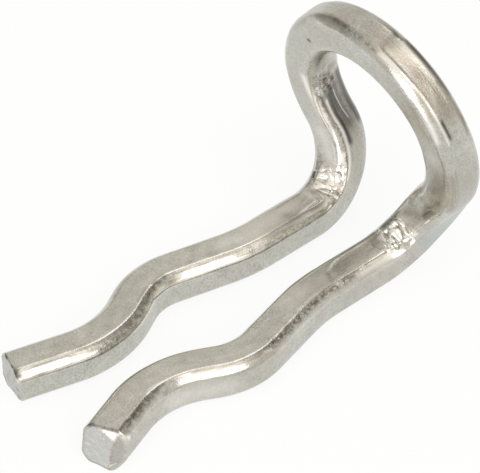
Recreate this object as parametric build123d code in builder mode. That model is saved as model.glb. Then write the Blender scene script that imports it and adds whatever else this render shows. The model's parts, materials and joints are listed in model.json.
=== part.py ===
"""Spring cotter pin bent from one length of square wire.

Two waved legs lie flat and close round a shaft. At their rear the wire spreads, folds up and
closes into a round pull loop, the head, which leans a little back over the legs.

The frame: X across the legs, Y from the tips to the head, Z up. The origin lies on the axis of
the shaft that the legs close round, in the plane of the legs' underside. Lengths are millimetres.
"""
import os
from math import acos, atan2, cos, degrees, hypot, radians, sin, tan

from build123d import *

# Wire: the drawn square section, with its rounded corners
WIRE_WIDTH = 2.0
WIRE_HEIGHT = 1.9
CORNER_RADIUS = 0.48
TIP_BEVEL = 0.12

# Legs, from the shaft to the tips: belly, straight lead, pinch and flared tip
SEAT_DIAMETER = 4.4
LEAD_ANGLE = 28.5
LEAD_LENGTH = 0.7
PINCH_BEND_RADIUS = 3.6
TIP_ANGLE = 18.5
TIP_LENGTH = 2.7

# Legs, from the shaft to the fold: belly, straight back, throat and a tail along the clip
BACK_LENGTH = 2.7
THROAT_BEND_RADIUS = 7.0
TAIL_LENGTH = 2.7

# Fold and head
FOLD_BEND_RADIUS = 2.05
HEAD_LEAN_ANGLE = 9.5
SPREAD_ANGLE = 34.0
EYE_DIAMETER = 7.1
SHOULDER_STEPS = 6

# Radii of the wire's middle line: bend radii are given on the inside of each bend
belly_radius = SEAT_DIAMETER / 2 + WIRE_WIDTH / 2
pinch_radius = PINCH_BEND_RADIUS + WIRE_WIDTH / 2
throat_radius = THROAT_BEND_RADIUS + WIRE_WIDTH / 2
head_radius = EYE_DIAMETER / 2 + WIRE_WIDTH / 2
fold_radius = FOLD_BEND_RADIUS + WIRE_HEIGHT / 2
fold_angle = 90 + HEAD_LEAN_ANGLE
spread = radians(SPREAD_ANGLE)

# Each shoulder curves outward all through the fold, and ends where it meets the head's arc
fold_length = fold_radius * radians(fold_angle)
shoulder_radius = fold_length / sin(spread)
tail_x = head_radius * cos(spread) - fold_length * tan(spread / 2)

# The belly turns on round the shaft until the straight back and the throat's bend reach the tail
reach = belly_radius + throat_radius
back = acos((tail_x + throat_radius) / hypot(reach, BACK_LENGTH)) - atan2(BACK_LENGTH, reach)
back_angle = degrees(back)

# The fold starts at the tail's end, and the eye's middle lies on the head's leaning plane
wire_middle_z = WIRE_HEIGHT / 2
lean = radians(HEAD_LEAN_ANGLE)
fold_y = reach * sin(back) + BACK_LENGTH * cos(back) + TAIL_LENGTH
eye_rise = head_radius * sin(spread)
eye_y = fold_y + fold_radius * cos(lean) - eye_rise * sin(lean)
eye_z = wire_middle_z + fold_radius * (1 + sin(lean)) + eye_rise * cos(lean)
eye_axis = Axis((0, eye_y, eye_z), (0, -cos(lean), -sin(lean)))


def shoulder_plane(share):
    """The wire's cross plane at a share of the shoulder: a flat arc wrapped round the fold's axis."""
    turn = spread * share
    bend = shoulder_radius * sin(turn) / fold_radius
    middle_x = tail_x + shoulder_radius * (1 - cos(turn))
    middle_y = fold_y + fold_radius * sin(bend)
    middle_z = wire_middle_z + fold_radius * (1 - cos(bend))
    along = Vector(sin(turn), cos(turn) * cos(bend), cos(turn) * sin(bend))
    face = Vector(0, -sin(bend), cos(bend))
    return Plane(origin=(middle_x, middle_y, middle_z), x_dir=face.cross(along), z_dir=along)


with BuildPart() as cotter_pin:
    # One leg: the wire swept from the fold down to its tip
    with BuildLine(Plane.XY.offset(wire_middle_z)) as leg_path:
        belly = CenterArc((0, 0), belly_radius, -LEAD_ANGLE, LEAD_ANGLE + back_angle)
        lead_run = PolarLine(belly @ 0, LEAD_LENGTH, direction=(belly % 0) * -1)
        pinch = JernArc(lead_run @ 1, lead_run % 1, pinch_radius, LEAD_ANGLE + TIP_ANGLE)
        PolarLine(pinch @ 1, TIP_LENGTH, direction=pinch % 1)
        back_run = PolarLine(belly @ 1, BACK_LENGTH, direction=belly % 1)
        throat = JernArc(back_run @ 1, back_run % 1, throat_radius, -back_angle)
        PolarLine(throat @ 1, TAIL_LENGTH, direction=throat % 1)
    with BuildSketch(shoulder_plane(0)):
        RectangleRounded(WIRE_WIDTH, WIRE_HEIGHT, CORNER_RADIUS)
    sweep(path=leg_path.wires()[0])

    # The tip's cut end, with its edges dressed
    tip_face = cotter_pin.faces().sort_by(Axis.Y)[0]
    chamfer(tip_face.edges(), TIP_BEVEL)

    # The shoulder, which bends up and outward at once
    stations = [shoulder_plane(step / SHOULDER_STEPS) for step in range(SHOULDER_STEPS + 1)]
    with BuildSketch(*stations):
        RectangleRounded(WIRE_WIDTH, WIRE_HEIGHT, CORNER_RADIUS)
    loft()

    # The other leg and shoulder
    mirror(about=Plane.YZ)

    # The head's arc joins both shoulders
    with BuildSketch(shoulder_plane(1)):
        RectangleRounded(WIRE_WIDTH, WIRE_HEIGHT, CORNER_RADIUS)
    revolve(axis=eye_axis, revolution_arc=180 + 2 * SPREAD_ANGLE)

cotter_pin.part.label = "cotter_pin"

os.makedirs("parts", exist_ok=True)
export_step(cotter_pin.part, "parts/cotter_pin.step")
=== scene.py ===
"""Dresses a spring cotter pin: one length of plated square wire, waved, folded up and looped."""

import json
from math import acos, atan2, cos, hypot, pi, radians, sin, tan

import bpy
import numpy as np
from bpy.props import FloatProperty, FloatVectorProperty, PointerProperty
from bpy.types import Operator, Panel, PropertyGroup
from mathutils import Matrix, Vector


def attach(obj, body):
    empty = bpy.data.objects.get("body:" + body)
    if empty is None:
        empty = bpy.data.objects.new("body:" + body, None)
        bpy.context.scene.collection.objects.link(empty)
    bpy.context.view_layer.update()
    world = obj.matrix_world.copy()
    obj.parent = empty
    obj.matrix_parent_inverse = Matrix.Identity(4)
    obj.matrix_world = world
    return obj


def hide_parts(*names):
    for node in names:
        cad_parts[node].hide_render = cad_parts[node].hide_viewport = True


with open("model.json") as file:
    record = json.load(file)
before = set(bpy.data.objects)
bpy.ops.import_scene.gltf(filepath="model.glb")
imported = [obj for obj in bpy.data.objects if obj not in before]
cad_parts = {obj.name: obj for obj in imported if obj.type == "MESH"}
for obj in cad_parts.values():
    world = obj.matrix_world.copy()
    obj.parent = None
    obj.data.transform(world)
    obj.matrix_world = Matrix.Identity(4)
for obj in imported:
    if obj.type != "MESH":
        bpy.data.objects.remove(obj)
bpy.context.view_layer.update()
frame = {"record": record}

bl_info = {
    "name": "Spring cotter pin",
    "version": (1, 0, 0),
    "blender": (4, 5, 0),
    "location": "View3D > Sidebar > Cotter pin",
    "description": "Builds the plated wire of a spring cotter pin and a plain studio for it",
    "category": "Object",
}

MM = 0.001
NODE = "cotter_pin"
MOUNTS = {mount["name"]: mount for mount in frame["record"]["mounts"]}

# Mesh of the wire: rings along each half and over each cut end, vertices on each stretch round the
# section, rounding of the cut's edge, and the length from a tip in which the slant of its cut dies out
RINGS_PER_HALF = 385
CAP_RINGS = 10
ROUND_COUNTS = (5, 12, 9, 9, 15, 15, 15, 15, 7, 7, 12, 5)
LIP = 0.06 * MM
CUT_REACH = 1.6 * MM

# Samples of the curves that are summed up
PATH_SAMPLES = 8001
RING_SAMPLES = 4001
SECTION_SAMPLES = 2001
CORNER_SAMPLES = 401

# Places along a half, in millimetres past the fold's start
FOLD_MIDDLE = 1.9
EYE_CRUMPLE = 7.95
SHOULDER_STARTS = (1.5, 4.5)
HEAD_STARTS = (8.5, 11.0)

# Lines on the right cut end, in millimetres: where its outer facet starts, and where its top rolls over
FACET_START = 0.45
FACET_SLANT = 0.3
ROLL_START = 0.75
ROLL_SLANT = 0.45

# Large factors that scatter whole grid numbers evenly
COLUMN_FACTOR = 127.1
ROW_FACTOR = 311.7
SEED_FACTOR = 74.7
FOLDED_FACTOR = 43758.5453

# Unevenness of the drawn flats: cell along and round the wire in millimetres, and seed
DRAWN_RIPPLES = (((1.1, 0.45), 5.0), ((0.5, 0.2), 6.0))

# Patterns of the finish, in waves per metre, and the depth of its finest grain
GRAIN = 10000.0
FLECK = 4600.0
MOTTLE = 1700.0
DRIFT = 420.0
LONG_DRIFT = 230.0
STREAK = 12000.0
STREAK_STRETCH = (0.04, 1.0, 1.0)
GRAIN_DEPTH = 0.03 * MM


def length(name, description, millimetres):
    """A length property, given in millimetres and kept in metres."""
    return FloatProperty(name=name, description=description, default=millimetres * MM, min=0.0,
                         precision=5, subtype="DISTANCE", unit="LENGTH")


def angle(name, description, degrees):
    """An angle property, given in degrees and kept in radians."""
    return FloatProperty(name=name, description=description, default=radians(degrees),
                         subtype="ANGLE", unit="ROTATION")


def share(name, description, default):
    """A property between nothing and one."""
    return FloatProperty(name=name, description=description, default=default, min=0.0, max=1.0,
                         subtype="FACTOR")


def colour(name, description, default):
    """A colour property."""
    return FloatVectorProperty(name=name, description=description, default=default, size=3,
                               min=0.0, max=1.0, subtype="COLOR")


class PinSizes(PropertyGroup):
    """Driving sizes of the wire, as it is drawn and bent."""

    wire_width: length("Wire width", "Across the wire, in the plane of the legs", 2.0)
    wire_height: length("Wire height", "Through the wire, from its underside to its top", 1.9)
    corner_radius: length("Corner radius", "Reach of the worn corners of the square section", 0.48)
    leg_crown: share("Leg crown", "How round the corners of the legs are: 0 is a flat bevel", 0.45)
    shoulder_crown: share("Shoulder crown", "How round the shoulders' corners are: 1 is a round", 1.0)
    head_crown: share("Head crown", "How round the corners of the head are", 0.5)
    head_corner_lean: angle("Head corner lean", "How far the head's corners lean to the sides", 5.0)
    seat_diameter: length("Seat diameter", "Shaft that the legs close round",
                          2 * MOUNTS["shaft_seat"]["dims"]["r_mm"])
    lead_angle: angle("Lead angle", "Slant of the straight lead before the belly", 28.5)
    lead_length: length("Lead length", "Straight lead between pinch and belly", 0.7)
    pinch_bend_radius: length("Pinch bend radius", "Inside radius of the bend behind a tip", 3.6)
    tip_angle: angle("Tip angle", "Outward flare of the tips", 18.5)
    tip_length: length("Tip length", "Straight run from the pinch to the tip", 2.7)
    right_tip_flare: angle("Right tip flare", "How far the right tip is bent past the tip angle", 1.75)
    left_tip_tuck: angle("Left tip tuck", "How far the left tip is short of the tip angle", 2.4)
    tip_mismatch: length("Tip mismatch", "Left leg too long and right leg too short by this", 0.22)
    back_length: length("Back length", "Straight run behind the belly", 2.7)
    throat_bend_radius: length("Throat bend radius", "Inside radius of the bend before the tail", 7.0)
    tail_length: length("Tail length", "Straight run before the fold", 2.7)
    fold_bend_radius: length("Fold bend radius", "Inside radius of the upward fold", 2.05)
    head_lean_angle: angle("Head lean", "How far the head leans back past upright", 9.5)
    spread_angle: angle("Spread angle", "How far each shoulder turns outward through the fold", 34.0)
    eye_diameter: length("Eye diameter", "Opening of the head", 2 * MOUNTS["pull_eye"]["dims"]["r_mm"])


class PinFinish(PropertyGroup):
    """Colours, gloss and wear of the plated wire, and the colours of its painted shade and highlights.
    """

    plate_colour: colour("Plate colour", "Colour of the nickel plate", (0.54, 0.536, 0.486))
    warm_colour: colour("Warm colour", "Warm cast that drifts over the plate", (0.48, 0.425, 0.365))
    green_colour: colour("Green colour", "Green cast that drifts along the wire", (0.48, 0.5, 0.43))
    # Also the colour of the painted highlights on edges, corners and the cut ends
    rub_and_highlight_colour: colour("Rub colour", "Bright metal of rubs, edges and crumples", (0.92, 0.89, 0.83))
    copper_colour: colour("Copper colour", "Flash where the plate is rubbed thin", (0.86, 0.73, 0.57))
    # Colour of a painted bluish reflection on the outer side of the right fold
    cool_reflection_colour: colour("Tint colour", "Cool tint on the outer side of a fold", (0.46, 0.53, 0.53))
    # Also the colour of painted shade in creases, hollows and along the edges of highlights
    stain_and_shade_colour: colour("Stain colour", "Oil and tool stain left in the bends", (0.27, 0.22, 0.17))
    # Colour of the painted shade on the eye's walls, in creases and along cut edges, and of scuffs
    shade_and_scuff_colour: colour("Soot colour", "Scale left on the inner wall of the eye", (0.055, 0.053, 0.05))
    flat_roughness: share("Flat roughness", "Roughness of the satin flats", 0.3)
    corner_roughness: share("Corner roughness", "Roughness of the burnished corners", 0.13)
    crumple_roughness: share("Crumple roughness", "Roughness of the crumpled folds", 0.14)
    cut_colour: colour("Cut colour", "Bare steel of the sheared ends", (0.56, 0.565, 0.55))
    cut_roughness: share("Cut roughness", "Roughness of the sheared ends", 0.42)
    crumple_height: length("Crumple height", "Height of the lumps squeezed up inside the folds", 0.13)
    die_depth: length("Die mark depth", "Depth of the marks the bending die pressed in", 0.025)
    rim_depth: length("Rim press depth", "Depth of the place that a tool pressed into the rim", 0.06)
    ripple_height: length("Ripple height", "Unevenness of the drawn flats", 0.004)


class StageLook(PropertyGroup):
    """Floor, light and camera."""

    floor_colour: colour("Floor colour", "Colour of the floor", (0.9, 0.9, 0.9))
    floor_white: share("Floor white", "How much of the floor is plain white to the camera", 0.88)
    floor_size: length("Floor size", "Side of the floor", 3000.0)
    light_level: FloatProperty(name="Light level", description="Strength of the light", default=1.0)
    view_azimuth: angle("View azimuth", "Turn of the camera round the pin", 49.86)
    view_elevation: angle("View elevation", "Height of the camera over the horizon", 42.12)
    view_roll: angle("View roll", "Tilt of the camera about its view line", -1.35)
    view_distance: length("View distance", "From the camera to its aim", 145.65)
    view_aim: FloatVectorProperty(name="View aim", description="Point in the middle of the picture",
                                  default=(0.761 * MM, 1.672 * MM, 5.537 * MM), size=3,
                                  precision=5, subtype="XYZ", unit="LENGTH")
    lens: FloatProperty(name="Lens", description="Focal length in millimetres", default=253.0)


# Path of the wire


def flat_marks(sizes, tip_angle, tip_length):
    """Half the wire laid flat, as marks of length and heading from the tip to the head's middle.

    Heading is the turn from +Y toward the pin's outer side. It holds on straight runs and grows
    evenly along each bend, so over the length it is a broken line through these marks.
    """
    half_width = sizes.wire_width / 2
    belly_radius = sizes.seat_diameter / 2 + half_width
    throat_radius = sizes.throat_bend_radius + half_width
    head_radius = sizes.eye_diameter / 2 + half_width
    fold_radius = sizes.fold_bend_radius + sizes.wire_height / 2
    fold_length = fold_radius * (pi / 2 + sizes.head_lean_angle)
    shoulder_radius = fold_length / sin(sizes.spread_angle)
    tail_x = head_radius * cos(sizes.spread_angle) - fold_length * tan(sizes.spread_angle / 2)
    reach = belly_radius + throat_radius
    back = (acos((tail_x + throat_radius) / hypot(reach, sizes.back_length))
            - atan2(sizes.back_length, reach))
    pinch_length = (sizes.pinch_bend_radius + half_width) * (sizes.lead_angle + tip_angle)
    runs = (
        (tip_length, -tip_angle, -tip_angle),
        (pinch_length, -tip_angle, sizes.lead_angle),
        (sizes.lead_length, sizes.lead_angle, sizes.lead_angle),
        (belly_radius * (sizes.lead_angle + back), sizes.lead_angle, -back),
        (sizes.back_length, -back, -back),
        (throat_radius * back, -back, 0.0),
        (sizes.tail_length, 0.0, 0.0),
        (shoulder_radius * sizes.spread_angle, 0.0, sizes.spread_angle),
        (head_radius * (sizes.spread_angle + pi / 2), sizes.spread_angle, -pi / 2),
    )
    marks = np.concatenate([[0.0], np.cumsum([run[0] for run in runs])])
    headings = np.array([runs[0][1]] + [run[2] for run in runs])
    belly_start, fold_start = marks[3], marks[7]
    belly_middle = belly_start + belly_radius * sizes.lead_angle
    return marks, headings, belly_middle, belly_radius, fold_start


def half_wire(sizes, tip_angle, tip_length, stations):
    """Middle line and cross directions of one half at the given lengths from its tip.

    The heading is summed up to a flat line that passes the belly's middle at the seat. What lies
    past the fold's start is then wrapped round the fold's axis, and beyond the fold it runs on
    straight up the leaning head. The face direction stays square to the sheet all along.
    """
    marks, headings, belly_middle, belly_radius, fold_start = flat_marks(sizes, tip_angle, tip_length)
    fine = np.linspace(0.0, marks[-1], PATH_SAMPLES)
    fine_heading = np.interp(fine, marks, headings)
    step = np.diff(fine)[:, None]
    slope = np.stack([np.sin(fine_heading), np.cos(fine_heading)], axis=1)
    flat = np.concatenate([[[0.0, 0.0]], np.cumsum((slope[1:] + slope[:-1]) / 2 * step, axis=0)])
    seat = np.array([np.interp(belly_middle, fine, flat[:, axis]) for axis in (0, 1)])
    flat = flat - seat + np.array([belly_radius, 0.0])

    x = np.interp(stations, fine, flat[:, 0])
    run = np.interp(stations, fine, flat[:, 1])
    heading = np.interp(stations, marks, headings)
    fold_y = np.interp(fold_start, fine, flat[:, 1])
    fold_radius = sizes.fold_bend_radius + sizes.wire_height / 2
    fold_angle = pi / 2 + sizes.head_lean_angle
    past = run - fold_y
    bend = np.clip(past / fold_radius, 0.0, fold_angle)
    rest = np.maximum(past - fold_radius * fold_angle, 0.0)
    y = np.minimum(run, fold_y) + fold_radius * np.sin(bend) + rest * cos(fold_angle)
    z = sizes.wire_height / 2 + fold_radius * (1 - np.cos(bend)) + rest * sin(fold_angle)
    forward = np.cos(heading)
    middle = np.stack([x, y, z], axis=1)
    along = np.stack([np.sin(heading), forward * np.cos(bend), forward * np.sin(bend)], axis=1)
    face = np.stack([np.zeros_like(bend), -np.sin(bend), np.cos(bend)], axis=1)
    outward = np.cross(along, face)
    return middle, along, outward, face


def around_stations(edges):
    """Lengths round the section at which each ring gets a vertex, closest on the top flat."""
    half_marks = np.concatenate([edges, 2 * edges[-1] - edges[-2::-1]])
    marks = np.concatenate([-half_marks[:0:-1], half_marks])
    pieces = [np.linspace(start, stop, count, endpoint=False)
              for start, stop, count in zip(marks[:-1], marks[1:], ROUND_COUNTS)]
    return np.concatenate(pieces)


def wire_section(sizes, crown, lean):
    """The section's vertices: length round it from the middle of the top, outline, normal and edges.

    Length round the section is positive toward the outer side. Over a quarter, from the middle of
    the top to the middle of the side, the outline's turn is 0 on the top flat and a right angle on
    the side flat. Across the worn corner between them the turn is half a right angle, plus as much
    again times a line mixed with a fifth power: the more crown, the more of the line. The lean adds
    to it, most in the corner's middle. The outline is summed up from that turn, and the other three
    quarters are its mirror images.
    """
    corner_share = np.linspace(-1.0, 1.0, CORNER_SAMPLES)
    corner_turn = (1 + crown * corner_share + (1 - crown) * corner_share ** 5) * pi / 4
    corner_turn += lean * (1 - corner_share ** 2) ** 2
    arc = sizes.corner_radius / np.mean(np.cos(corner_turn))
    core_x = sizes.wire_width / 2 - sizes.corner_radius
    core_z = sizes.wire_height / 2 - arc * np.mean(np.sin(corner_turn))
    quarter = core_x + arc + core_z
    edges = np.array([0.0, core_x, core_x + arc, quarter])
    fine = np.linspace(0.0, quarter, SECTION_SAMPLES)
    turn = np.interp(fine, core_x + arc * (corner_share + 1) / 2, corner_turn, left=0.0, right=pi / 2)
    step = np.diff(fine)
    across = np.concatenate([[0.0], np.cumsum((np.cos(turn[1:]) + np.cos(turn[:-1])) / 2 * step)])
    drop = np.concatenate([[0.0], np.cumsum((np.sin(turn[1:]) + np.sin(turn[:-1])) / 2 * step)])

    around = around_stations(edges)
    below = np.abs(around) > quarter
    place = np.where(below, 2 * quarter - np.abs(around), np.abs(around))
    side = np.where(around < 0, -1.0, 1.0)
    upper = np.where(below, -1.0, 1.0)
    place_turn = np.interp(place, fine, turn)
    outline = np.stack([side * np.interp(place, fine, across),
                        upper * (sizes.wire_height / 2 - np.interp(place, fine, drop))], axis=1)
    normal = np.stack([side * np.sin(place_turn), upper * np.cos(place_turn)], axis=1)
    return around, outline, normal, edges


def blended_section(sizes, run):
    """Length round the section, outline and normal of each ring, and the legs' own length and edges.

    Leg, shoulder and head have sections of their own. Each ring is their sum, with shares that are
    eased from one to the next along the run, which is in millimetres.
    """
    kinds = (
        wire_section(sizes, sizes.leg_crown, 0.0),
        wire_section(sizes, sizes.shoulder_crown, 0.0),
        wire_section(sizes, sizes.head_crown, sizes.head_corner_lean),
    )
    head = ease(run, *HEAD_STARTS)
    bent = ease(run, *SHOULDER_STARTS) - head
    shares = (1 - bent - head, bent, head)
    around = sum(part[:, None] * kind[0] for part, kind in zip(shares, kinds))
    outline, normal = (sum(part[:, None, None] * kind[item] for part, kind in zip(shares, kinds))
                       for item in (1, 2))
    return around, outline, normal, kinds[0][0], kinds[0][3]


# Marks of drawing, bending and cutting, with painted shade and highlights. All places and heights in
# these functions are in millimetres


def fraction(value):
    """What is left of a number after its whole part."""
    return value - np.floor(value)


def scatter(column, row, seed):
    """An even scatter between 0 and 1 for whole grid numbers: a folded product of large factors."""
    wave = np.sin(column * COLUMN_FACTOR + row * ROW_FACTOR + seed * SEED_FACTOR)
    return fraction(np.abs(wave) * FOLDED_FACTOR)


def ease(value, low, high):
    """Rises smoothly from 0 at low to 1 at high."""
    ramp = np.clip((value - low) / (high - low), 0.0, 1.0)
    return ramp * ramp * (3 - 2 * ramp)


def patch(along, around, middle, size):
    """1 in a patch with a soft edge, 0 well outside it: falls off by the fourth power to each side."""
    spread = ((along - middle[0]) / size[0]) ** 4 + ((around - middle[1]) / size[1]) ** 4
    return np.exp(-spread)


def ripple(along, around, cell, seed):
    """Smooth unevenness between -1 and 1: scattered heights on a grid, eased from one to the next."""
    column, row = along / cell[0], around / cell[1]
    left, low = np.floor(column), np.floor(row)
    across, up = ease(column - left, 0, 1), ease(row - low, 0, 1)
    bottom = scatter(left, low, seed) * (1 - across) + scatter(left + 1, low, seed) * across
    top = scatter(left, low + 1, seed) * (1 - across) + scatter(left + 1, low + 1, seed) * across
    return 2 * (bottom * (1 - up) + top * up) - 1


def lumps(along, around, cell, seed):
    """Squeezed metal: domes round scattered points, each tilted its own way, with creases between.

    Each place takes the nearest point of its own and the eight neighbouring grid cells. The height
    is a dome over that point plus a tilt drawn for it, between about -1 and 1.
    """
    column, row = along / cell, around / cell
    home_column, home_row = np.floor(column), np.floor(row)
    nearest = np.full(np.shape(column), 9.0)
    tilt = np.zeros(np.shape(column))
    for step in range(9):
        near_column, near_row = home_column + step // 3 - 1, home_row + step % 3 - 1
        off_column = column - near_column - scatter(near_column, near_row, seed)
        off_row = row - near_row - scatter(near_column, near_row, seed + 1)
        distance = np.hypot(off_column, off_row)
        lean = 2 * pi * scatter(near_column, near_row, seed + 2)
        slant = off_column * np.cos(lean) + off_row * np.sin(lean)
        closer = distance < nearest
        nearest = np.where(closer, distance, nearest)
        tilt = np.where(closer, slant, tilt)
    return 1 - 1.6 * nearest ** 2 + 0.4 * tilt


def stroke(run, around, start, end, half_width):
    """1 along a line between two places, falling off to its sides and past its ends as a bell.

    The distance is from the place to the nearest point of the line, in half widths.
    """
    reach = (end[0] - start[0], end[1] - start[1])
    span = reach[0] ** 2 + reach[1] ** 2
    along = np.clip(((run - start[0]) * reach[0] + (around - start[1]) * reach[1]) / span, 0.0, 1.0)
    off = np.hypot(run - start[0] - along * reach[0], around - start[1] - along * reach[1])
    return np.exp(-(off / half_width) ** 2)


# Marks on each half of the pin. A place is (run, around) in millimetres: run is the length past the
# fold's start, and around the length from the middle of the top or front flat toward the outer side.
# Each row gives what it is, both ends of a stroke, its half width in millimetres, and its strength. The
# strength of a groove is its depth in millimetres, and less than nothing for a ridge.
# Brown stains together with painted shade in creases, hollows and along the edges of highlights
BROWN_STAINS_AND_SHADE = {"right": (
    ("edge of the die mark", (-2.75, 0.45), (-2.55, -0.05), 0.1, 0.8),
    ("pressed tail", (-1.9, 0.03), (0.6, -0.2), 0.4, 0.75),
    ("inner edge of the pressed tail", (-1.2, -0.56), (0.2, -0.56), 0.14, 0.6),
    ("start of the belly", (-7.6, 0.0), (-6.6, 0.05), 0.6, 0.3),
    ("rim", (12.6, 1.75), (11.1, 1.75), 0.5, 0.9),
    ("before the rim crease", (14.8, 1.6), (14.4, 1.7), 0.5, 0.75),
    ("foot of the head's corner", (8.4, 0.9), (6.5, 0.95), 0.34, 0.55),
    ("edge of the tip", (-16.9, 0.57), (-13.9, 0.55), 0.06, 0.9),
    ("inner edge of the facet", (5.9, -0.84), (6.7, -0.84), 0.1, 0.5),
    ("upper edge of the lead's gloss", (-12.4, 0.72), (-8.2, 0.74), 0.06, 0.9),
    ("outer side of the shoulder", (7.8, 1.7), (6.4, 1.75), 0.55, 0.36),
    ("front of the shoulder", (8.5, -0.05), (7.2, 0.0), 0.45, 0.35),
    ("edge of the shoulder", (8.2, 0.7), (6.6, 0.7), 0.13, 0.8),
    ("hollow before the crease", (3.3, -0.35), (3.9, 0.15), 0.26, 0.7),
    ("crease at the shoulder", (4.25, 0.36), (5.2, 0.28), 0.17, 1.0),
    ("crease turning in", (5.2, 0.1), (6.3, 0.22), 0.15, 1.0),
    ("crease running out", (6.05, 0.25), (6.8, 0.24), 0.1, 0.6),
    ("streak up the shoulder", (9.3, 0.72), (7.9, 0.6), 0.07, 0.5),
    ("inner streak", (7.8, -0.22), (6.8, -0.1), 0.12, 0.5),
    ("outer line", (8.7, 1.11), (8.0, 1.13), 0.05, 0.6),
    ("front of the head", (11.0, 0.2), (9.6, 0.25), 0.24, 0.15),
    ("streak along the shoulder", (6.9, 0.55), (6.3, 0.6), 0.12, 0.3),
    ("front scar", (11.0, 0.08), (10.6, 0.26), 0.08, 0.6),
    ("rim crease", (14.24, 1.38), (14.28, 2.15), 0.1, 0.75),
    ("back edge of the rim", (13.6, 2.36), (9.8, 2.34), 0.11, 1.0),
    ("back edge of the head top", (15.3, 2.4), (13.8, 2.42), 0.08, 0.6),
    ("front edge of the rim", (12.6, 1.26), (11.5, 1.36), 0.13, 0.9),
), "left": (
    ("end of the tip's gloss", (-14.5, -0.74), (-13.3, -0.84), 0.09, 0.9),
    ("top of the eye's wall", (9.3, -1.5), (10.8, -1.3), 0.4, 0.75),
    ("above the crumple in the eye", (8.2, -1.75), (8.8, -2.0), 0.3, 0.7),
    ("lower edge of the tip's gloss", (-16.9, -1.13), (-15.8, -1.09), 0.08, 0.8),
    ("end of the lead's edge", (-9.0, -0.56), (-8.0, -0.58), 0.08, 0.6),
    ("outer edge of the lead", (-10.4, 0.78), (-9.2, 0.76), 0.1, 0.5),
    ("end of the corner", (-17.05, -0.6), (-16.95, -0.86), 0.18, 1.0),
    ("upper edge of the tip's gloss", (-16.9, -0.71), (-14.2, -0.7), 0.05, 0.9),
    ("upper edge of the back's gloss", (-7.6, -0.71), (-3.8, -0.71), 0.05, 0.9),
    ("front of the head", (14.5, 0.0), (8.0, 0.0), 0.6, 0.12),
    ("back edge of the head", (14.8, 2.3), (13.4, 2.26), 0.08, 0.6),
    ("head top", (13.7, 1.28), (14.7, 1.1), 0.13, 0.8),
    ("before the head top", (12.5, 1.1), (13.7, 1.26), 0.12, 0.75),
    ("front of the fold", (-1.3, -0.25), (-0.9, -0.5), 0.25, 0.45),
    ("beside the bright streak", (-0.2, -0.66), (0.4, -0.72), 0.14, 0.6),
    ("before the crumple", (0.8, 0.15), (1.0, -0.1), 0.2, 0.5),
    ("lower corner", (-1.2, -1.05), (0.3, -1.12), 0.12, 0.4),
    ("lower edge of the crumple", (1.0, -1.05), (1.7, -1.0), 0.12, 0.8),
    ("end of the crumple's edge", (1.7, -1.12), (2.2, -1.1), 0.1, 0.6),
    ("start of the back's gloss", (-8.0, -0.9), (-7.35, -0.9), 0.16, 0.9),
    ("corner before the pinch", (-12.6, -1.0), (-11.4, -1.02), 0.11, 0.7),
    ("end of the back's gloss", (-4.5, -0.88), (-3.9, -0.9), 0.12, 0.7),
    ("outer edge of the head", (10.4, 0.82), (12.2, 0.9), 0.22, 0.65),
    ("top edge of the lead", (-10.4, -0.46), (-9.4, -0.48), 0.07, 0.6),
    ("wall below the eye", (4.2, -1.42), (3.2, -1.45), 0.08, 0.6),
    ("beside the lower line", (6.9, -1.14), (5.2, -1.13), 0.05, 0.9),
    ("foot of the eye's wall", (4.2, -1.8), (2.9, -1.8), 0.5, 0.3),
)}
# Painted shade on the eye's walls, in creases and pits and along highlight edges, with a scuff
DARK_SHADE_AND_SCUFFS = {"right": (
    ("corner of the end", (-16.75, 0.6), (-16.5, 0.62), 0.08, 0.4),
    ("inner corner of the end", (-16.9, -0.5), (-16.85, -0.75), 0.1, 0.7),
    ("front edge of the rim", (12.6, 1.24), (11.8, 1.3), 0.1, 0.25),
    ("back of the crumple", (1.6, -0.54), (2.5, -0.48), 0.15, 0.6),
    ("scuff on the head", (10.8, 1.36), (10.1, 1.4), 0.075, 1.0),
    ("crease at the shoulder", (4.3, 0.36), (5.3, 0.26), 0.11, 0.25),
    ("crease turning in", (5.4, 0.16), (6.4, 0.18), 0.1, 0.2),
), "left": (
    ("end of the corner", (-16.97, -0.68), (-16.9, -0.86), 0.19, 0.78),
    ("start of the back's gloss", (-7.7, -0.8), (-7.2, -0.76), 0.12, 0.35),
    ("upper edge of the tip's gloss", (-16.7, -0.71), (-14.5, -0.72), 0.05, 0.4),
    ("eye wall", (7.3, -1.8), (5.0, -1.75), 0.45, 0.85),
    ("eye wall at the corner", (7.0, -1.54), (4.2, -1.46), 0.15, 1.0),
    ("back of the eye wall", (8.0, -2.4), (5.0, -2.36), 0.26, 0.85),
    ("crumple in the eye", (7.3, -1.65), (8.4, -1.5), 0.35, 0.4),
    ("pit in the eye's crumple", (7.95, -1.93), (7.75, -2.0), 0.14, 0.95),
    ("pit on the head", (11.98, -0.07), (11.9, 0.0), 0.08, 1.0),
    ("pit beside the crumple", (2.2, 0.56), (1.8, 0.53), 0.09, 0.9),
)}
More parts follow.
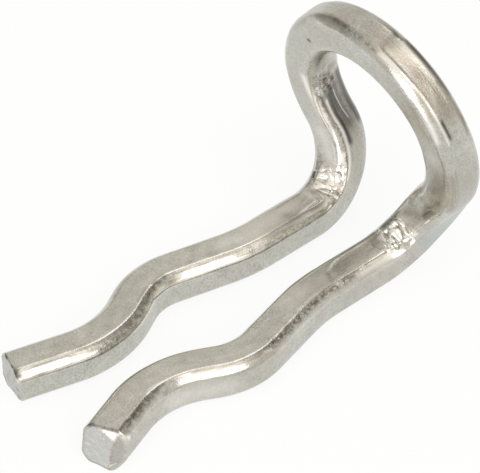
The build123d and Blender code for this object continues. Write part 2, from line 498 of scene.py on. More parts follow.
# Bright rubs together with painted highlights, glints and reflections on the corners and ends
BRIGHT_RUBS_AND_HIGHLIGHTS = {"right": (
    ("top of the tail", (-5.0, 0.0), (-2.9, 0.0), 0.55, 0.4),
    ("side of the lead", (-12.6, 1.75), (-9.8, 1.75), 0.55, 0.36),
    ("hook of the die mark", (-2.38, -0.2), (-1.95, -0.4), 0.06, 1.0),
    ("end of the hook", (-1.95, -0.4), (-1.5, -0.48), 0.05, 0.9),
    ("fold corner", (-1.3, 0.74), (1.2, 0.9), 0.28, 1.0),
    ("upper edge of the fold corner", (-2.6, 0.5), (1.0, 0.56), 0.1, 0.9),
    ("upper edge of the back", (-5.2, 0.5), (-2.6, 0.55), 0.15, 0.75),
    ("end of the crumple", (2.1, 0.76), (2.95, 0.76), 0.11, 1.0),
    ("bits past the crumple", (4.1, 0.6), (4.5, 0.58), 0.06, 0.9),
    ("edge of the rim", (11.4, 1.2), (9.9, 1.22), 0.05, 0.8),
    ("top of the head's corner", (14.1, 1.03), (12.4, 1.1), 0.11, 0.8),
    ("foot of the head's corner", (11.5, 0.86), (10.2, 0.78), 0.12, 0.9),
    ("front of the shoulder", (9.0, 0.05), (10.0, 0.1), 0.4, 0.25),
    ("facet of the shoulder", (5.5, -0.42), (6.4, -0.36), 0.18, 0.4),
    ("foot of the facet", (4.8, -0.2), (5.7, -0.26), 0.15, 0.4),
    ("back of the pressed rim", (13.9, 2.18), (12.2, 2.18), 0.09, 1.0),
    ("back half of the pressed rim", (13.7, 2.0), (12.8, 2.02), 0.2, 0.5),
    ("front half of the pressed rim", (13.9, 1.38), (12.8, 1.38), 0.2, 0.5),
    ("lower half of the belly's corner", (-7.4, 1.1), (-1.2, 1.02), 0.14, 0.25),
    ("lower half of the tip's corner", (-16.2, 1.1), (-13.2, 1.05), 0.14, 0.2),
    ("upper edge at the pinch", (-13.6, 0.46), (-12.7, 0.52), 0.07, 0.8),
    ("worn spots before the belly", (-8.0, 0.74), (-7.7, 0.86), 0.06, 1.0),
    ("glint at the end", (-16.95, 0.94), (-16.6, 1.2), 0.12, 1.0),
    ("inner edge of the shoulder", (3.9, -0.8), (4.5, -0.8), 0.12, 0.6),
    ("upper edge of the lead", (-12.6, 0.6), (-11.2, 0.62), 0.08, 0.7),
    ("start of the lead's corner", (-13.4, 0.78), (-12.9, 0.8), 0.1, 0.4),
), "left": (
    ("top of the tail", (-4.6, 0.0), (-1.2, 0.0), 0.55, 0.32),
    ("foot of the fold", (-1.2, 0.0), (0.4, 0.0), 0.55, 0.5),
    ("under the head's band", (13.3, 0.9), (14.5, 0.86), 0.13, 0.5),
    ("streak on the tail", (-0.8, -0.52), (0.4, -0.36), 0.08, 1.0),
    ("crumple", (1.4, -0.3), (2.5, -0.4), 0.6, 0.85),
    ("front above the crumple", (3.3, -0.2), (5.0, -0.1), 0.4, 0.35),
    ("top of the eye's corner", (8.6, -0.52), (7.2, -0.8), 0.19, 0.95),
    ("upper line of the corner", (7.3, -0.83), (5.6, -0.92), 0.2, 1.0),
    ("middle of the corner", (5.6, -0.88), (4.4, -0.78), 0.11, 0.95),
    ("foot of the upper line", (3.6, -0.87), (2.8, -0.94), 0.13, 1.0),
    ("front edge of the corner", (4.2, -0.5), (3.0, -0.5), 0.1, 0.5),
    ("corner of the fold", (-4.0, -0.66), (1.0, -0.85), 0.25, 0.6),
    ("corner before the fold", (-3.6, -0.68), (-1.8, -0.7), 0.18, 1.0),
    ("lower half of the lead's corner", (-10.4, -1.06), (-8.6, -0.98), 0.18, 0.6),
    ("upper edge of the back", (-7.4, -0.6), (-2.6, -0.6), 0.06, 0.8),
    ("lower edge of the back", (-7.4, -1.12), (-3.2, -1.06), 0.08, 0.8),
    ("upper edge of the tip", (-16.8, -0.6), (-14.2, -0.6), 0.06, 0.6),
    ("glint at the end", (-17.0, -1.02), (-16.88, -1.06), 0.08, 1.0),
    ("lower edge of the tip", (-14.4, -1.1), (-13.5, -1.1), 0.09, 0.6),
    ("lower line of the corner", (6.7, -1.34), (4.9, -1.27), 0.07, 1.0),
    ("foot of the lower line", (4.9, -1.27), (2.4, -1.18), 0.09, 1.0),
    ("bit beside the eye's crumple", (7.35, -1.16), (7.75, -1.1), 0.15, 1.0),
    ("upper edge of the lead", (-12.2, -0.66), (-11.2, -0.62), 0.08, 0.5),
    ("line on the eye wall", (7.5, -1.82), (5.2, -1.88), 0.04, 1.0),
)}
COPPER_TINTS = {"right": (
    ("pressed rim", (13.7, 1.65), (13.15, 1.75), 0.3, 0.5),
    ("foot of the head", (7.7, 0.75), (6.9, 0.55), 0.25, 0.45),
), "left": ()}
RUBBED_GRAIN = {"right": (
    ("belly corner", (-7.6, 0.72), (-2.1, 0.78), 0.18, 1.0),
    ("end of the belly corner", (-2.1, 0.76), (-0.9, 0.66), 0.13, 0.6),
    ("tip corner", (-16.66, 0.72), (-14.2, 0.74), 0.2, 1.0),
    ("end of the tip corner", (-14.2, 0.74), (-13.3, 0.74), 0.18, 0.6),
    ("front of the rim", (15.4, 1.04), (14.4, 1.0), 0.1, 0.8),
), "left": (
    ("start of the lead corner", (-13.2, -0.95), (-11.4, -0.86), 0.16, 1.0),
    ("lead corner", (-11.4, -0.84), (-8.3, -0.66), 0.16, 1.0),
    ("end of the back", (-3.9, -0.92), (-0.3, -1.1), 0.16, 0.5),
    ("eye corner", (7.2, -1.08), (3.2, -1.06), 0.08, 0.8),
    ("crumple in the eye", (7.3, -1.65), (8.4, -1.5), 0.4, 0.9),
    ("head top", (13.9, 1.22), (15.1, 1.06), 0.11, 1.0),
)}
# Painted bluish reflection on the outer side of the right fold
COOL_REFLECTIONS = {"right": (
    ("outer side of the fold", (2.8, 1.75), (4.8, 1.75), 0.5, 0.6),
), "left": ()}
MATT_CORNERS = {"right": (
    ("inner edge of the eye", (15.4, -1.0), (9.0, -1.0), 0.45, 1.0),
    ("outer edge of the head", (14.0, 0.95), (9.4, 0.95), 0.5, 0.5),
), "left": (
    ("inner edge of the eye", (8.2, -1.0), (15.4, -1.0), 0.45, 1.0),
)}
GROOVES = {"right": (
    ("crease at the shoulder", (4.25, 0.36), (6.4, 0.26), 0.13, 0.02),
    ("rim crease", (14.24, 1.3), (14.28, 2.2), 0.07, 0.03),
    ("scuff on the head", (10.62, 1.38), (10.15, 1.4), 0.06, 0.02),
    ("ridge behind the pressed rim", (13.9, 2.42), (11.4, 2.42), 0.19, -0.06),
    ("end of the ridge", (11.4, 2.42), (10.2, 2.42), 0.17, -0.04),
    ("back edge of the head top", (15.4, 2.4), (14.5, 2.4), 0.15, -0.03),
), "left": (
    ("streak on the tail", (-0.8, -0.52), (0.5, -0.36), 0.07, -0.02),
    ("back edge of the head top", (15.4, 2.4), (13.0, 2.36), 0.15, -0.03),
    ("pit beside the crumple", (2.2, 0.56), (1.8, 0.53), 0.1, 0.06),
    ("pit on the head", (11.95, -0.05), (11.93, -0.02), 0.06, 0.03),
    ("line on the eye wall", (7.5, -1.82), (5.2, -1.88), 0.05, -0.02),
)}


def of_half(rows, right):
    """The rows of one half of the pin."""
    return rows["right" if right else "left"]


def marked(rows, run, around, right):
    """The strongest of these marks at each place of one half, plus the strongest below nothing."""
    highest = np.zeros_like(run)
    lowest = np.zeros_like(run)
    for _, start, end, half_width, strength in of_half(rows, right):
        line = strength * stroke(run, around, start, end, half_width)
        highest = np.maximum(highest, line)
        lowest = np.minimum(lowest, line)
    return highest + lowest


# Squeezed places. Each row gives the middle and half size as (run, around) in millimetres, the share of
# the crumple height, the size of the lumps in millimetres, and how dark the shade painted into the
# creases is.
CRUMPLES = {"right": (
    ("inside the fold", (1.8, 0.08), (1.0, 0.62), 1.0, 0.36, 0.95),
), "left": (
    ("inside the fold", (2.0, -0.3), (1.05, 0.75), 0.55, 0.32, 0.45),
    ("inside the eye", (7.95, -1.6), (0.85, 0.55), 0.6, 0.2, 1.0),
)}


def crumples(run, around, right):
    """Where the wire is squeezed, how high it is squeezed up, and how dark the shade painted into its
    creases is.

    Each place is a soft patch with ragged edges, filled with lumps that are drawn askew and out to
    the sides. Shade is painted into the creases where the lumps are low.
    """
    ragged_run = run + 0.25 * ripple(run, around, (0.5, 0.4), seed=11.0)
    ragged_around = around + 0.15 * ripple(run, around, (0.4, 0.5), seed=12.0)
    askew_run = run + 0.16 * ripple(run, around, (0.55, 0.55), seed=21.0)
    askew_around = (around + 0.16 * ripple(run, around, (0.55, 0.55), seed=22.0)) / 1.4
    crumple = np.zeros_like(run)
    height = np.zeros_like(run)
    crease_shade = np.zeros_like(run)
    for _, middle, size, rise, lump, dark in of_half(CRUMPLES, right):
        place = patch(ragged_run, ragged_around, middle, size)
        large = lumps(askew_run, askew_around, lump, seed=3.0)
        small = lumps(askew_run, askew_around, lump / 2, seed=8.0)
        squeezed = 0.88 * large + 0.12 * small
        crumple = np.maximum(crumple, place)
        height += rise * place * squeezed
        crease_shade = np.maximum(crease_shade, dark * place * (1 - ease(squeezed, 0.05, 0.5)))
    return crumple, height, crease_shade


def side_press(run, around, right):
    """Depth of the slant that each fold is pressed to: it falls toward one side and fades below.

    The right fold falls to its outer side, the left fold to its inner side.
    """
    toward = around if right else -around
    fall = 0.34 * np.clip(toward + 0.3, 0.0, 0.8) * (1 - ease(toward, 0.6, 1.25))
    return fall * np.exp(-((run - FOLD_MIDDLE) / 0.85) ** 2)


def die_mark(run, around, right):
    """Depth share of the flats that the bending die pressed: each a step across the top, then a fade.

    The right step is a curve: it lies further up the wire toward the inner side, by a third power.
    """
    top = 1 - ease(np.abs(around), 0.45, 0.6)
    if right:
        reach = np.clip((0.45 - around) / 0.95, 0.0, 1.0)
        step = run + 2.7 - 1.3 * reach ** 3
        return ease(step, -0.1, 0.1) * (1 - ease(run, -0.6, 1.2)) * top
    return ease(run, -1.5, -1.1) * (1 - ease(run, 0.0, 1.0)) * top


def rim_press(run, around):
    """Depth share of the place that a tool pressed into the rim: a crease, deepest at the front."""
    start = 1 - ease(run, 14.12, 14.22)
    fade = ease(run, 11.8, 13.2)
    front = np.clip((2.35 - around) / 1.1, 0.0, 1.0) * ease(around, 1.1, 1.35)
    return start * fade * front


def edge_rubs_and_highlights(edges, run, around, right):
    """Rubbed edges of one corner of each leg, which also paint a highlight line along it: the outer one
    on the right, the inner one on the left.

    A bell lies a hair past the end of the top flat. The left leg has another before its side flat.
    """
    toward = around if right else -around
    upper = np.exp(-((toward - edges[1] - 0.03) / 0.055) ** 2)
    lower = np.exp(-((toward - edges[2] + 0.09) / 0.08) ** 2) * (0.0 if right else 0.85)
    legs = 1 - 0.85 * ease(run, 2.0, 5.0)
    return (upper + lower) * legs


def outer_facet(across, height):
    """How far a place of the right end lies past the slanting line where its outer facet starts."""
    return across - FACET_START - FACET_SLANT * np.maximum(height, 0.0)


def end_cut(across, height, right):
    """How far the cut end is set back from the tip's plane at a place of the section.

    The right end is a plane that leans back toward the top. A steeper plane rolls its top edge over
    toward the outer side, and another takes its outer part off. The left end is set back toward its
    inner lower corner, with a small pull-down at its outer top. Both push a burr forward along the
    bottom.
    """
    burr_side = across if right else -across
    burr = 0.1 * np.exp(-((height + 0.9) / 0.14) ** 2) * ease(burr_side, -0.2, 0.6)
    torn = 0.014 * ripple(across, height, (0.3, 0.12), seed=31.0)
    if right:
        leaning = 0.14 + 0.23 * height
        rolled = 0.4 * np.maximum(height + ROLL_SLANT * across - ROLL_START, 0.0)
        outer = 0.6 * np.maximum(outer_facet(across, height), 0.0)
        return leaning + rolled + outer - burr + torn
    torn_off = 0.36 * np.maximum(-0.62 * across - 0.5 * height - 0.12, 0.0)
    pull_down = 0.6 * np.maximum(0.9 * height - 0.4 * across - 1.0, 0.0)
    return torn_off + pull_down - burr + torn


def end_marks(across, height, right):
    """Stains, painted shade and painted highlights on a cut end.

    The right end has a brown line where its outer facet starts, a stained facet, and a painted
    highlight on its rolled-over edge. The left end is pitted, with a brown edge toward its inner side
    that paints the shadow line of the cut's edge, and a painted glint there.
    """
    if right:
        beyond = outer_facet(across, height)
        line = 0.8 * np.exp(-(beyond / 0.07) ** 2)
        facet = 0.45 * ease(beyond, 0.0, 0.1)
        rolled = ease(height + ROLL_SLANT * across, ROLL_START - 0.01, ROLL_START + 0.07)
        rolled *= 1 - ease(across, 0.45, 0.6)
        return np.maximum(line, facet) * (1 - rolled), rolled
    inner_edge = 0.5 * ease(-0.8 * across + 0.6 * height, 0.78, 0.9)
    pitted = 0.85 * ease(ripple(across, height, (0.24, 0.3), seed=51.0), -0.1, 0.5)
    dot = np.exp(-(np.hypot(across + 0.8, height - 0.45) / 0.12) ** 2)
    return np.maximum(inner_edge, pitted) * (1 - dot), dot


def shear_line(from_tip, around, right):
    """Painted shade along the top edge of a cut end: even on the right end, in dashes on the left one.
    """
    dashes = ease(ripple(around, around, (0.16, 0.16), seed=41.0), -0.5, 0.3)
    top = 1 - ease(np.abs(around), 0.55, 0.75)
    return (0.7 if right else 0.8 * dashes) * np.exp(-(from_tip / 0.07) ** 2) * top


def half_relief(finish, run, around, right, squeezed):
    """Height of all the marks of one half over its plain section, in metres."""
    relief = finish.crumple_height * squeezed
    relief -= finish.die_depth * die_mark(run, around, right)
    relief -= MM * (side_press(run, around, right) + marked(GROOVES, run, around, right))
    if right:
        relief -= finish.rim_depth * rim_press(run, around)
    for cell, seed in DRAWN_RIPPLES:
        relief += finish.ripple_height * ripple(run, around, cell, seed)
    return relief


# Mesh of the wire


def wire_stations(total, fold_start):
    """Lengths from the tip at which the wire gets a ring, closer together where it is marked.

    Ring density over the length is one plus a bell at the fold, the eye's crumple and the tip; the
    rings sit at even steps of its sum.
    """
    fine = np.linspace(0.0, total, RING_SAMPLES)
    run = (fine - fold_start) / MM
    fold = 2.0 * np.exp(-((run - FOLD_MIDDLE) / 1.2) ** 4)
    eye = 1.2 * np.exp(-((run - EYE_CRUMPLE) / 0.9) ** 4)
    tip = 2.0 * np.exp(-(fine / (0.5 * MM)) ** 2)
    density = 1.0 + fold + eye + tip
    summed = np.concatenate([[0.0], np.cumsum((density[1:] + density[:-1]) / 2)])
    return np.interp(np.linspace(0.0, summed[-1], RINGS_PER_HALF), summed, fine)


def half_surface(sizes, finish, right):
    """Rows of vertices of one half, from its tip's pole to the head's middle, and its masks of wear,
    stains and painted shade and highlights.

    The first rings lie in the tip's plane and grow from the pole to the section. The next ones round
    the cut's edge by a quarter of a circle, and all rings near the tip are set back as the cut slants.
    """
    tip_angle = sizes.tip_angle + (sizes.right_tip_flare if right else -sizes.left_tip_tuck)
    tip_length = sizes.tip_length + (-sizes.tip_mismatch if right else sizes.tip_mismatch)
    marks, _, _, _, fold_start = flat_marks(sizes, tip_angle, tip_length)
    stations = np.concatenate([np.zeros(CAP_RINGS), wire_stations(marks[-1], fold_start)])
    lip = np.clip(1 - stations / LIP, 0.0, 1.0)
    inset = 1 - (LIP / (sizes.wire_width / 2)) * (1 - np.sqrt(1 - lip ** 2))
    inset[:CAP_RINGS] = np.linspace(0.0, 1.0, CAP_RINGS, endpoint=False) * inset[CAP_RINGS]
    middle, along, outward, face = half_wire(sizes, tip_angle, tip_length, stations)

    ring_run = (stations - fold_start) / MM
    around, outline, normal, leg_around, edges = blended_section(sizes, ring_run)
    run = ring_run[:, None] + np.zeros_like(around)
    around = around / MM
    section = inset[:, None, None] * outline
    across, height = section[..., 0] / MM, section[..., 1] / MM
    from_tip = stations[:, None]
    setback = MM * end_cut(across, height, right) * np.clip(1 - from_tip / CUT_REACH, 0.0, 1.0)
    on_cap = np.broadcast_to((np.arange(len(stations)) < CAP_RINGS)[:, None], run.shape)
    on_side = ~on_cap

    crumple, squeezed, crease_shade = crumples(run, around, right)
    relief = half_relief(finish, run, around, right, squeezed) * on_side
    points = (
        middle[:, None]
        + setback[..., None] * along[:, None]
        + section[..., :1] * outward[:, None]
        + section[..., 1:] * face[:, None]
        + relief[..., None] * (normal[..., :1] * outward[:, None] + normal[..., 1:] * face[:, None])
    )

    def lay(rows):
        """These marks on this half's sides."""
        return marked(rows, run, around, right) * on_side

    corner = np.abs(np.sin(2 * np.arctan2(normal[..., 0], normal[..., 1])))
    end_stain_and_shade, end_highlight = end_marks(across, height, right)
    # Among these masks are painted shade, painted highlights and a painted bluish reflection
    masks = {
        "corner": corner * on_side * (1 - lay(MATT_CORNERS)),
        "crumple": crumple * on_side,
        "cut": on_cap.astype(float),
        "edge": edge_rubs_and_highlights(edges / MM, run, around, right) * on_side,
        "crease_shade": crease_shade * on_side,
        "stain_and_shade": lay(BROWN_STAINS_AND_SHADE) + end_stain_and_shade * on_cap,
        "shade_and_scuffs": np.maximum(lay(DARK_SHADE_AND_SCUFFS), shear_line(from_tip / MM, around, right) * on_side),
        "bright": lay(BRIGHT_RUBS_AND_HIGHLIGHTS) + end_highlight * on_cap,
        "cool_reflection": lay(COOL_REFLECTIONS),
        "copper": lay(COPPER_TINTS),
        "rubbed": lay(RUBBED_GRAIN),
    }
    return points, masks, stations, leg_around


def wire_surface(sizes, finish):
    """The whole wire as one grid, from the right tip's pole over the head to the left tip's pole."""
    right_points, right_masks, right_lengths, around = half_surface(sizes, finish, True)
    left_points, left_masks, left_lengths, _ = half_surface(sizes, finish, False)
    left_points = left_points * np.array([-1.0, 1.0, 1.0])
    points = np.concatenate([right_points, left_points[-2::-1]])
    masks = {name: np.concatenate([mask, left_masks[name][-2::-1]])
             for name, mask in right_masks.items()}
    total = right_lengths[-1] + left_lengths[-1]
    lengths = np.concatenate([right_lengths, total - left_lengths[-2::-1]])
    return points, masks, lengths, around


def tube_mesh(name, points, lengths, around, masks):
    """A mesh from rings of points, closed round each ring and at a pole where both ends draw together.

    Ring r and place k join to the next ring and place as one four-sided face; the first and last
    ring are a single vertex each. The UV map holds the lengths along and round the wire in metres.
    """
    rings, places = points.shape[:2]
    inner = points[1:-1].reshape(-1, 3)
    vertices = np.concatenate([points[0].mean(axis=0)[None], inner, points[-1].mean(axis=0)[None]])
    first, last = 0, len(vertices) - 1
    index = 1 + np.arange((rings - 2) * places).reshape(rings - 2, places)
    turned = np.roll(index, -1, axis=1)
    quads = np.stack([index[:-1], turned[:-1], turned[1:], index[1:]], axis=-1).reshape(-1, 4)
    start = np.stack([np.full(places, first), turned[0], index[0]], axis=-1)
    end = np.stack([index[-1], turned[-1], np.full(places, last)], axis=-1)
    corners = np.concatenate([quads.ravel(), start.ravel(), end.ravel()])
    sides = np.concatenate([np.full(len(quads), 4), np.full(2 * places, 3)])

    mesh = bpy.data.meshes.new(name)
    mesh.vertices.add(len(vertices))
    mesh.vertices.foreach_set("co", vertices.ravel())
    mesh.loops.add(len(corners))
    mesh.loops.foreach_set("vertex_index", corners)
    mesh.polygons.add(len(sides))
    mesh.polygons.foreach_set("loop_start", np.cumsum(sides) - sides)
    mesh.polygons.foreach_set("loop_total", sides)
    mesh.polygons.foreach_set("use_smooth", np.ones(len(sides), dtype=bool))

    far_round = np.append(around[1:], -around[0])
    low, high = np.meshgrid(lengths[1:-1], around, indexing="ij")
    _, high_next = np.meshgrid(lengths[1:-1], far_round, indexing="ij")
    here = np.stack([low, high], axis=-1)
    there = np.stack([low, high_next], axis=-1)
    quad_uv = np.stack([here[:-1], there[:-1], there[1:], here[1:]], axis=2).reshape(-1, 2)
    start_pole = np.stack([np.full(places, lengths[0]), around], axis=-1)
    end_pole = np.stack([np.full(places, lengths[-1]), around], axis=-1)
    start_uv = np.stack([start_pole, there[0], here[0]], axis=1).reshape(-1, 2)
    end_uv = np.stack([here[-1], there[-1], end_pole], axis=1).reshape(-1, 2)
    layer = mesh.uv_layers.new(name="wire_lengths")
    layer.data.foreach_set("uv", np.concatenate([quad_uv, start_uv, end_uv]).ravel())

    for mask_name, mask in masks.items():
        values = np.concatenate([[mask[0].mean()], mask[1:-1].ravel(), [mask[-1].mean()]])
        attribute = mesh.attributes.new(mask_name, "FLOAT", "POINT")
        attribute.data.foreach_set("value", values.astype(np.float32))
    mesh.update()
    mesh.validate()
    return mesh


# Plated finish


class Nodes:
    """Adds shader nodes to a tree and links them by their socket names."""

    def __init__(self, tree):
        self.tree = tree
        tree.nodes.clear()

    def add(self, kind, inputs=(), **settings):
        """A node of this kind; inputs are (socket, value or output socket) pairs."""
        node = self.tree.nodes.new(kind)
        for name, value in settings.items():
            setattr(node, name, value)
        for socket, value in inputs:
            if isinstance(value, bpy.types.NodeSocket):
                self.tree.links.new(value, node.inputs[socket])
            else:
                node.inputs[socket].default_value = value
        return node

    def attribute(self, name):
        """The value of one of the wire's wear masks."""
        return self.add("ShaderNodeAttribute", attribute_name=name).outputs["Fac"]

    def math(self, operation, first, second=0.0):
        """Two values put together by this operation."""
        return self.add("ShaderNodeMath", [(0, first), (1, second)], operation=operation).outputs[0]

    def noise(self, vector, scale, detail=2.0, rough=0.5):
        """A noise pattern of the given scale per metre."""
        node = self.add("ShaderNodeTexNoise", [("Vector", vector), ("Scale", scale), ("Detail", detail),
                                               ("Roughness", rough)])
        return node.outputs["Fac"]

    def ramp(self, value, low, high, start=0.0, stop=1.0):
        """Maps low..high of a value to start..stop, and holds it there outside."""
        node = self.add("ShaderNodeMapRange", [("Value", value), ("From Min", low), ("From Max", high),
                                               ("To Min", start), ("To Max", stop)])
        return node.outputs["Result"]

    def blend(self, share_socket, first, second):
        """A colour between two colours."""
        node = self.add("ShaderNodeMix", [(0, share_socket), (6, first), (7, second)], data_type="RGBA")
        return node.outputs[2]

    def between(self, share_socket, first, second):
        """A value between two values."""
        inputs = [(0, share_socket), (2, first), (3, second)]
        node = self.add("ShaderNodeMix", inputs, data_type="FLOAT")
        return node.outputs[0]


def shade(base, factor=1.0):
    """A colour with its alpha, made lighter or darker."""
    return tuple(min(1.0, part * factor) for part in base) + (1.0,)


def plated_steel(finish):
    """Satin nickel plate: mottled flats, burnished grainy corners, bright crumples and rough cuts.

    The colour is laid on in this order: mottled plate, warm and green casts, a painted bluish
    reflection, torn cut, bright rubs with painted highlights, copper flash, painted shade in the
    creases, rubbed flecks, brown stains with painted shade, and painted shade with scuffs and pits.
    """
    material = bpy.data.materials.new("plated_steel")
    material.use_nodes = True
    nodes = Nodes(material.node_tree)
    place = nodes.add("ShaderNodeTexCoord").outputs["Object"]
    wire = nodes.add("ShaderNodeUVMap", uv_map="wire_lengths").outputs["UV"]
    stretch = [("Vector", wire), ("Scale", STREAK_STRETCH)]
    drawn = nodes.add("ShaderNodeMapping", stretch).outputs["Vector"]
    corner, crumple, cut, edge = map(nodes.attribute, ("corner", "crumple", "cut", "edge"))
    stain_and_shade, shade_and_scuffs, crease_shade = map(nodes.attribute, ("stain_and_shade", "shade_and_scuffs", "crease_shade"))
    bright, cool_reflection, copper, rubbed = map(nodes.attribute, ("bright", "cool_reflection", "copper", "rubbed"))

    grain = nodes.noise(place, GRAIN, 2.0, 0.6)
    fleck = nodes.noise(place, FLECK, 3.0, 0.6)
    mottle = nodes.noise(place, MOTTLE, 3.0)
    drift = nodes.noise(place, DRIFT, 2.0)
    long_drift = nodes.noise(wire, LONG_DRIFT, 1.0)
    streak = nodes.noise(drawn, STREAK, 2.0)

    fine_tone = nodes.math("MULTIPLY", nodes.ramp(grain, 0.3, 0.7), 0.6)
    broad_tone = nodes.math("MULTIPLY", nodes.ramp(mottle, 0.3, 0.7), 0.4)
    tone = nodes.math("ADD", fine_tone, broad_tone)
    metal = nodes.blend(tone, shade(finish.plate_colour, 0.66), shade(finish.plate_colour, 1.33))
    for pattern, cast in ((drift, finish.warm_colour), (long_drift, finish.green_colour)):
        metal = nodes.blend(nodes.ramp(pattern, 0.4, 0.65, 0.0, 0.3), metal, shade(cast))
    # Painted bluish reflection on the outer side of the right fold
    metal = nodes.blend(cool_reflection, metal, shade(finish.cool_reflection_colour))
    torn = nodes.math("MULTIPLY", cut, nodes.ramp(fleck, 0.35, 0.55, 0.35, 0.95))
    metal = nodes.blend(torn, metal, shade(finish.cut_colour))
    # Rubbed edges, burnished crumples and rubs, with painted highlights on edges, corners and cut ends
    worn = nodes.math("MULTIPLY", edge, nodes.ramp(mottle, 0.3, 0.6, 0.3, 0.9))
    worn = nodes.math("MAXIMUM", worn, nodes.math("MULTIPLY", crumple, 0.5))
    worn = nodes.math("MAXIMUM", worn, bright)
    metal = nodes.blend(worn, metal, shade(finish.rub_and_highlight_colour))
    flash = nodes.math("MULTIPLY", copper, nodes.ramp(fleck, 0.4, 0.6, 0.4, 1.0))
    metal = nodes.blend(flash, metal, shade(finish.copper_colour))
    # Painted shade in the crumples' creases, also the colour of the rubbed flecks
    shade_and_fleck_colour = shade(finish.stain_and_shade_colour, 0.7)
    metal = nodes.blend(crease_shade, metal, shade_and_fleck_colour)
    flecks = nodes.math("MULTIPLY", rubbed, nodes.ramp(fleck, 0.42, 0.58, 0.0, 0.85))
    metal = nodes.blend(flecks, metal, shade_and_fleck_colour)
    # Brown stains together with painted shade
    patchy = nodes.ramp(nodes.math("ADD", mottle, streak), 0.75, 1.2, 0.35, 1.0)
    metal = nodes.blend(nodes.math("MULTIPLY", stain_and_shade, patchy), metal, shade(finish.stain_and_shade_colour))
    # Painted shade with scuffs and pits, held back where a highlight is painted
    shade_and_scuff_share = nodes.math("MULTIPLY", shade_and_scuffs, nodes.ramp(streak, 0.3, 0.6, 0.78, 1.0))
    shade_and_scuff_share = nodes.math("MULTIPLY", shade_and_scuff_share, nodes.ramp(bright, 0.2, 1.0, 1.0, 0.25))
    metal = nodes.blend(shade_and_scuff_share, metal, shade(finish.shade_and_scuff_colour))

    rough = nodes.between(corner, finish.flat_roughness, finish.corner_roughness)
    for mask, roughness in ((crumple, finish.crumple_roughness), (cut, finish.cut_roughness),
                            (rubbed, finish.flat_roughness), (stain_and_shade, finish.flat_roughness)):
        rough = nodes.between(mask, rough, roughness)
    rough = nodes.math("ADD", rough, nodes.ramp(mottle, 0.3, 0.7, -0.04, 0.06))

    depth = nodes.between(corner, 0.25, 0.1)
    depth = nodes.between(rubbed, depth, 0.7)
    depth = nodes.between(cut, depth, 1.0)
    grainy = nodes.math("MULTIPLY", grain, depth)
    fine = nodes.math("ADD", grainy, nodes.math("MULTIPLY", streak, 0.06))
    bump = nodes.add("ShaderNodeBump", [("Height", fine), ("Strength", 1.0), ("Distance", GRAIN_DEPTH)])
    shader = nodes.add("ShaderNodeBsdfPrincipled", [
        ("Base Color", metal), ("Metallic", 1.0), ("Roughness", rough),
        ("Normal", bump.outputs["Normal"])])
    nodes.add("ShaderNodeOutputMaterial", [("Surface", shader.outputs["BSDF"])])
    return material


# Studio. Lamps: azimuth from +X toward +Y, elevation, half width and half height, in degrees, and glow
SOFT_BOXES = (
    ("right_box", -6.0, 46.0, 16.0, 22.0, 2.0),
    ("left_box", -71.0, 16.0, 15.0, 16.0, 1.9),
    ("rear_strip", 123.0, 58.0, 6.0, 8.0, 2.0),
)
BOX_DISTANCE = 500 * MM

# Slow changes of the room's grey: azimuth, elevation, half angle and softness in degrees, and change
ROOM_TONES = (
    ("front", -38.0, 52.0, 38.0, 24.0, 0.3),
    ("back", 86.0, 42.0, 22.0, 18.0, -0.55),
    ("left", -162.0, 20.0, 22.0, 20.0, -0.45),
    ("ceiling", 0.0, 90.0, 18.0, 8.0, 0.2),
)
ROOM_GREY = 0.83
ROOM_TINT = (1.0, 0.962, 0.905, 1.0)


def sky_direction(azimuth, elevation):
    """Unit direction for an azimuth from +X toward +Y and an elevation, both in degrees."""
    turn, rise = radians(azimuth), radians(elevation)
    return (cos(turn) * cos(rise), sin(turn) * cos(rise), sin(rise))


def studio_world(level):
    """A grey room: each tone adds its share within its angle of its direction."""
    world = bpy.data.worlds.new("studio")
    world.use_nodes = True
    nodes = Nodes(world.node_tree)
    look = nodes.add("ShaderNodeTexCoord").outputs["Generated"]
    total = ROOM_GREY * level
    for _, azimuth, elevation, half_angle, softness, change in ROOM_TONES:
        facing = nodes.add("ShaderNodeVectorMath", [(0, look), (1, sky_direction(azimuth, elevation))],
                           operation="DOT_PRODUCT").outputs["Value"]
        outer = cos(radians(half_angle + softness))
        inner = cos(radians(max(half_angle - softness, 0.0)))
        limits = [("From Min", outer), ("From Max", inner), ("To Min", 0.0), ("To Max", change * level)]
        tone = nodes.add("ShaderNodeMapRange", [("Value", facing)] + limits,
                         interpolation_type="SMOOTHSTEP").outputs["Result"]
        total = nodes.math("ADD", tone, total)
    background = nodes.add("ShaderNodeBackground", [("Color", ROOM_TINT), ("Strength", total)])
    nodes.add("ShaderNodeOutputWorld", [("Surface", background.outputs["Background"])])
    return world


def soft_box(name, azimuth, elevation, half_width, half_height, glow):
    """A rectangular lamp facing the pin. Its power is its glow times its area times pi."""
    lamp = bpy.data.lights.new(name, "AREA")
    lamp.shape = "RECTANGLE"
    lamp.size = 2 * BOX_DISTANCE * tan(radians(half_width))
    lamp.size_y = 2 * BOX_DISTANCE * tan(radians(half_height))
    lamp.energy = glow * lamp.size * lamp.size_y * pi
    box = link(name, lamp)
    back = Vector(sky_direction(azimuth, elevation))
    box.location = back * BOX_DISTANCE
    box.rotation_euler = back.to_track_quat("Z", "Y").to_euler()
    box.visible_camera = False


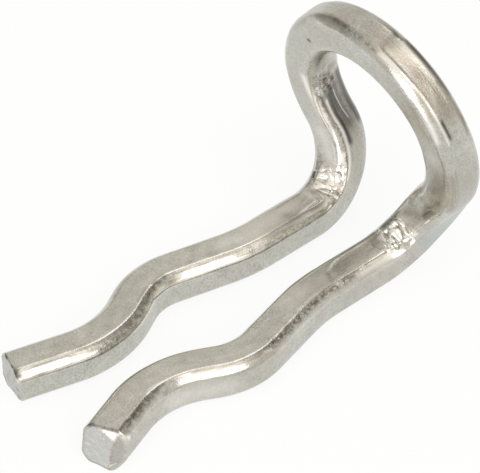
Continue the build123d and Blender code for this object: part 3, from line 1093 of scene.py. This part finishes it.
def floor_finish(floor_colour, floor_white):
    """Matt pale floor that reads white to the camera and in the metal, and keeps a faint shadow."""
    material = bpy.data.materials.new("pale_floor")
    material.use_nodes = True
    nodes = Nodes(material.node_tree)
    matt = nodes.add("ShaderNodeBsdfDiffuse", [("Color", shade(floor_colour))])
    white = nodes.add("ShaderNodeEmission", [("Strength", 1.0)])
    path = nodes.add("ShaderNodeLightPath")
    seen = nodes.math("MAXIMUM", path.outputs["Is Camera Ray"], path.outputs["Is Glossy Ray"])
    seen = nodes.math("MAXIMUM", seen, path.outputs["Is Transmission Ray"])
    seen = nodes.math("MULTIPLY", seen, floor_white)
    mixed = nodes.add("ShaderNodeMixShader", [(0, seen), (1, matt.outputs[0]), (2, white.outputs[0])])
    nodes.add("ShaderNodeOutputMaterial", [("Surface", mixed.outputs[0])])
    return material


def link(name, data):
    """A new object of this data in the scene."""
    made = bpy.data.objects.new(name, data)
    bpy.context.scene.collection.objects.link(made)
    return made


class PIN_OT_wire(Operator):
    """Make the plated wire of the pin"""

    bl_idname = "cotter_pin.wire"
    bl_label = "Wire"

    def execute(self, context):
        """Sweep the wire, dress it and let it stand for the solid."""
        sizes, finish = context.scene.pin_sizes, context.scene.pin_finish
        points, masks, lengths, around = wire_surface(sizes, finish)
        wire = link("cotter_pin_wire", tube_mesh("cotter_pin_wire", points, lengths, around, masks))
        wire.data.materials.append(plated_steel(finish))
        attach(wire, "root")
        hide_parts(NODE)
        return {"FINISHED"}


class PIN_OT_stage(Operator):
    """Make the floor, the light and the camera"""

    bl_idname = "cotter_pin.stage"
    bl_label = "Stage"

    def execute(self, context):
        """Lay the floor under the pin, light it and aim the camera."""
        look = context.scene.pin_stage
        half = look.floor_size / 2
        mesh = bpy.data.meshes.new("floor")
        corners = [(-half, -half, 0), (half, -half, 0), (half, half, 0), (-half, half, 0)]
        mesh.from_pydata(corners, [], [(0, 1, 2, 3)])
        floor = link("floor", mesh)
        mesh.materials.append(floor_finish(look.floor_colour, look.floor_white))
        context.scene.world = studio_world(look.light_level)
        for name, azimuth, elevation, half_width, half_height, glow in SOFT_BOXES:
            soft_box(name, azimuth, elevation, half_width, half_height, glow * look.light_level)

        camera = link("camera", bpy.data.cameras.new("camera"))
        camera.data.lens = look.lens
        camera.data.clip_start = look.view_distance / 100
        camera.data.clip_end = look.floor_size * 2
        turn, rise = look.view_azimuth, look.view_elevation
        back = Vector((sin(turn) * cos(rise), -cos(turn) * cos(rise), sin(rise)))
        side = Matrix.Rotation(look.view_roll, 3, back) @ Vector((cos(turn), sin(turn), 0.0))
        stand = Matrix.Translation(Vector(look.view_aim) + back * look.view_distance)
        camera.matrix_world = stand @ Matrix((side, back.cross(side), back)).transposed().to_4x4()
        context.scene.camera = camera
        context.scene.view_settings.view_transform = "Standard"
        return {"FINISHED"}


class PIN_PT_panel(Panel):
    """Sizes, finish and stage of the pin"""

    bl_idname = "PIN_PT_panel"
    bl_label = "Cotter pin"
    bl_space_type = "VIEW_3D"
    bl_region_type = "UI"
    bl_category = "Cotter pin"

    def draw(self, context):
        """List the operators with the properties that they read."""
        layout = self.layout
        for operator in OPERATORS:
            layout.operator(operator.bl_idname)
        for group in (context.scene.pin_sizes, context.scene.pin_finish, context.scene.pin_stage):
            column = layout.column(align=True)
            for name in group.bl_rna.properties.keys():
                if name not in {"rna_type", "name"}:
                    column.prop(group, name)


OPERATORS = (PIN_OT_wire, PIN_OT_stage)
CLASSES = (PinSizes, PinFinish, StageLook) + OPERATORS + (PIN_PT_panel,)


def register():
    """Register the classes and hang the properties on the scene."""
    for item in CLASSES:
        bpy.utils.register_class(item)
    bpy.types.Scene.pin_sizes = PointerProperty(type=PinSizes)
    bpy.types.Scene.pin_finish = PointerProperty(type=PinFinish)
    bpy.types.Scene.pin_stage = PointerProperty(type=StageLook)


def unregister():
    """Take the properties and classes away again."""
    del bpy.types.Scene.pin_stage
    del bpy.types.Scene.pin_finish
    del bpy.types.Scene.pin_sizes
    for item in reversed(CLASSES):
        bpy.utils.unregister_class(item)


def main():
    """Build everything in order."""
    register()
    bpy.ops.cotter_pin.wire()
    bpy.ops.cotter_pin.stage()


if __name__ == "__main__":
    main()
